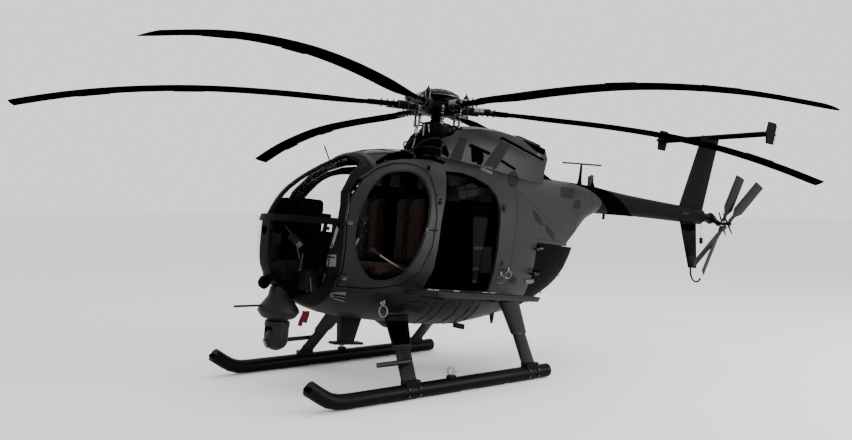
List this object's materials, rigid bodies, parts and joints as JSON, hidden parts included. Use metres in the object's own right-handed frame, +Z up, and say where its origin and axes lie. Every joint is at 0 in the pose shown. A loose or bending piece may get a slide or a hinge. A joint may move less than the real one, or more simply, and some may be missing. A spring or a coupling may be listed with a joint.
{
  "type": "light utility helicopter",
  "caption": "Light single-turbine helicopter with an egg-shaped glazed cabin, open side doorways, outboard benches, T-tail and skids.",
  "frame": {"origin": "on the ground, below the middle of the bounding box", "axes": "+X towards the nose, +Y to port, +Z up; the machine stands on its skids, nose up by 5.5 degrees"},
  "size_m": [8.9184, 8.2804, 2.8474],
  "materials": {
    "hull_paint": "satin black paint, slightly dusty",
    "dark_paint": "matt black paint",
    "rotor_black": "matt black paint",
    "bare_metal": "dull bare metal",
    "clear_glazing": "clear, faintly grey",
    "seat_fabric": "worn brown upholstery",
    "cabin_black": "matt black"
  },
  "bodies": {
    "airframe": {"canopy_frame": "hull_paint", "cabin_shell": "hull_paint", "belly_shell": "hull_paint", "rear_fuselage": "hull_paint", "engine_firewall": "cabin_black", "engine": "bare_metal", "exhaust_pipe": "bare_metal", "engine_cowl": "hull_paint", "tail_boom": "hull_paint", "upper_fin": "hull_paint", "ventral_fin": "hull_paint", "stabiliser": "hull_paint", "tail_gearbox": "hull_paint", "mast_base": "cabin_black", "mast_fairing": "cabin_black", "turret_mount": "hull_paint", "cabin_floor": "cabin_black", "seat_base": "cabin_black", "instrument_console": "cabin_black", "rear_cabinet": "cabin_black", "nose_lamp": "clear_glazing", "belly_sensor": "dark_paint", "boom_antenna": "dark_paint", "windscreen_port": "clear_glazing", "chin_window_port": "clear_glazing", "roof_window_port": "clear_glazing", "skid_port": "hull_paint", "strut_front_port": "hull_paint", "strut_rear_port": "hull_paint", "bench_port": "dark_paint", "seat_cushion_port": "seat_fabric", "seat_back_port": "seat_fabric", "windscreen_starboard": "clear_glazing", "chin_window_starboard": "clear_glazing", "roof_window_starboard": "clear_glazing", "skid_starboard": "hull_paint", "strut_front_starboard": "hull_paint", "strut_rear_starboard": "hull_paint", "bench_starboard": "dark_paint", "seat_cushion_starboard": "seat_fabric", "seat_back_starboard": "seat_fabric"},
    "main_rotor": {"main_rotor_hub": "rotor_black", "main_rotor_blade_1": "rotor_black", "main_rotor_blade_2": "rotor_black", "main_rotor_blade_3": "rotor_black", "main_rotor_blade_4": "rotor_black", "main_rotor_blade_5": "rotor_black", "main_rotor_blade_6": "rotor_black"},
    "tail_rotor": {"tail_rotor_hub": "dark_paint"},
    "turret_pan": {"turret_yoke": "hull_paint"},
    "turret_tilt": {"turret_ball": "dark_paint"},
    "port_front_door": {"front_door_port": "hull_paint", "door_glass_port": "clear_glazing"},
    "port_engine_door": {"engine_door_port": "hull_paint"},
    "starboard_front_door": {"front_door_starboard": "hull_paint", "door_glass_starboard": "clear_glazing"},
    "starboard_engine_door": {"engine_door_starboard": "hull_paint"}
  },
  "joints": [
    {"name": "main_rotor_spin", "type": "hinge", "parent": "airframe", "child": "main_rotor", "pos_m": [0.776, 0, 2.573], "axis": [-0.0958, 0, 0.9954], "continuous": true},
    {"name": "tail_rotor_spin", "type": "hinge", "parent": "airframe", "child": "tail_rotor", "pos_m": [-3.8376, 0.28, 1.4496], "axis": [0, 1, 0], "continuous": true},
    {"name": "port_front_door_hinge", "type": "hinge", "parent": "airframe", "child": "port_front_door", "pos_m": [2.2652, 0.577, 1.0357], "axis": [0.0958, -0.0312, -0.9949], "range_deg": [0, 80]},
    {"name": "starboard_front_door_hinge", "type": "hinge", "parent": "airframe", "child": "starboard_front_door", "pos_m": [2.2652, -0.577, 1.0357], "axis": [-0.0958, -0.0312, 0.9949], "range_deg": [0, 80]},
    {"name": "port_engine_door_hinge", "type": "hinge", "parent": "airframe", "child": "port_engine_door", "pos_m": [-0.1177, 0.56, 1.1076], "axis": [0.0958, 0, -0.9954], "range_deg": [0, 100]},
    {"name": "starboard_engine_door_hinge", "type": "hinge", "parent": "airframe", "child": "starboard_engine_door", "pos_m": [-0.1177, -0.56, 1.1076], "axis": [-0.0958, 0, 0.9954], "range_deg": [0, 100]},
    {"name": "turret_pan", "type": "hinge", "parent": "airframe", "child": "turret_pan", "pos_m": [2.5702, 0, 0.633], "axis": [-0.0958, 0, 0.9954], "continuous": true},
    {"name": "turret_tilt", "type": "hinge", "parent": "turret_pan", "child": "turret_tilt", "pos_m": [2.5855, 0, 0.4738], "axis": [0, 1, 0], "range_deg": [-35, 85]}
  ]
}
